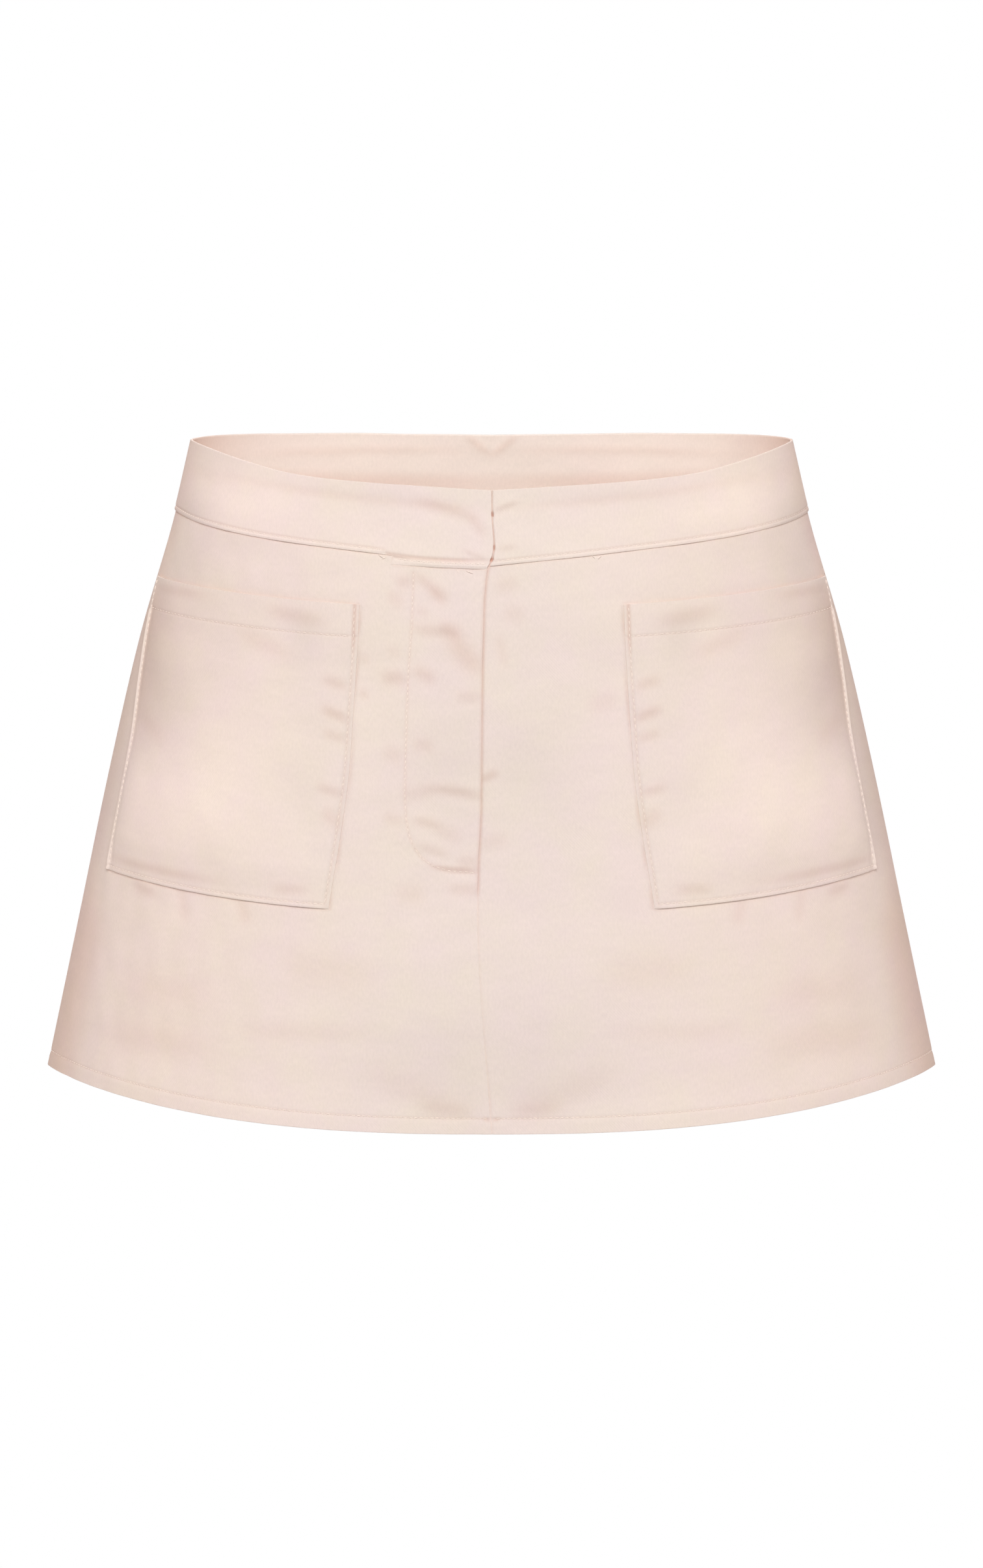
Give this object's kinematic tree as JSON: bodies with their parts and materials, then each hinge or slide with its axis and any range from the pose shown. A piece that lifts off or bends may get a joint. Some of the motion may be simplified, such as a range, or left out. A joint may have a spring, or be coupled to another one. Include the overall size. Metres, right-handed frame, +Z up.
{
  "type": "skort",
  "caption": "Flared mini skort in cotton twill: a fly-front skirt with two patch pockets over plain shorts, held up by its shaped waistband.",
  "frame": {"origin": "middle of the waist, level with the waistband's upper edge at the side seams, where the wearer's waist holds the skort", "axes": "+Z up along the wearer's body, -Y the front, +X the wearer's left, across the widest side of the skirt"},
  "size_m": [0.4588, 0.311, 0.3252],
  "materials": {
    "twill": "fine cotton twill, pale blush, matt with a slight sheen",
    "shorts_twill": "lighter-weight cotton of the same blush, matt",
    "facing_twill": "the same twill, wrong side out, a little pinker",
    "zip_tape": "woven polyester tape, dyed to match",
    "zip_coil": "nylon coil, dyed to match",
    "metal": "plain nickel-plated steel and zinc"
  },
  "bodies": {
    "root": {"skirt_front_right": "twill", "skirt_front_left": "twill", "skirt_back": "twill", "waistband_front_right": "twill", "waistband_front_left": "twill", "waistband_back": "twill", "pocket_right": "twill", "pocket_left": "twill", "shorts_front_right": "shorts_twill", "shorts_front_left": "shorts_twill", "shorts_back_right": "shorts_twill", "shorts_back_left": "shorts_twill", "fly_facing": "facing_twill", "zip_tape_right": "zip_tape", "zip_tape_left": "zip_tape", "zip_chain": "zip_coil", "zip_slider": "metal", "zip_pull": "metal", "hook_upper": "metal", "hook_lower": "metal", "eye_upper": "metal", "eye_lower": "metal"}
  },
  "joints": []
}
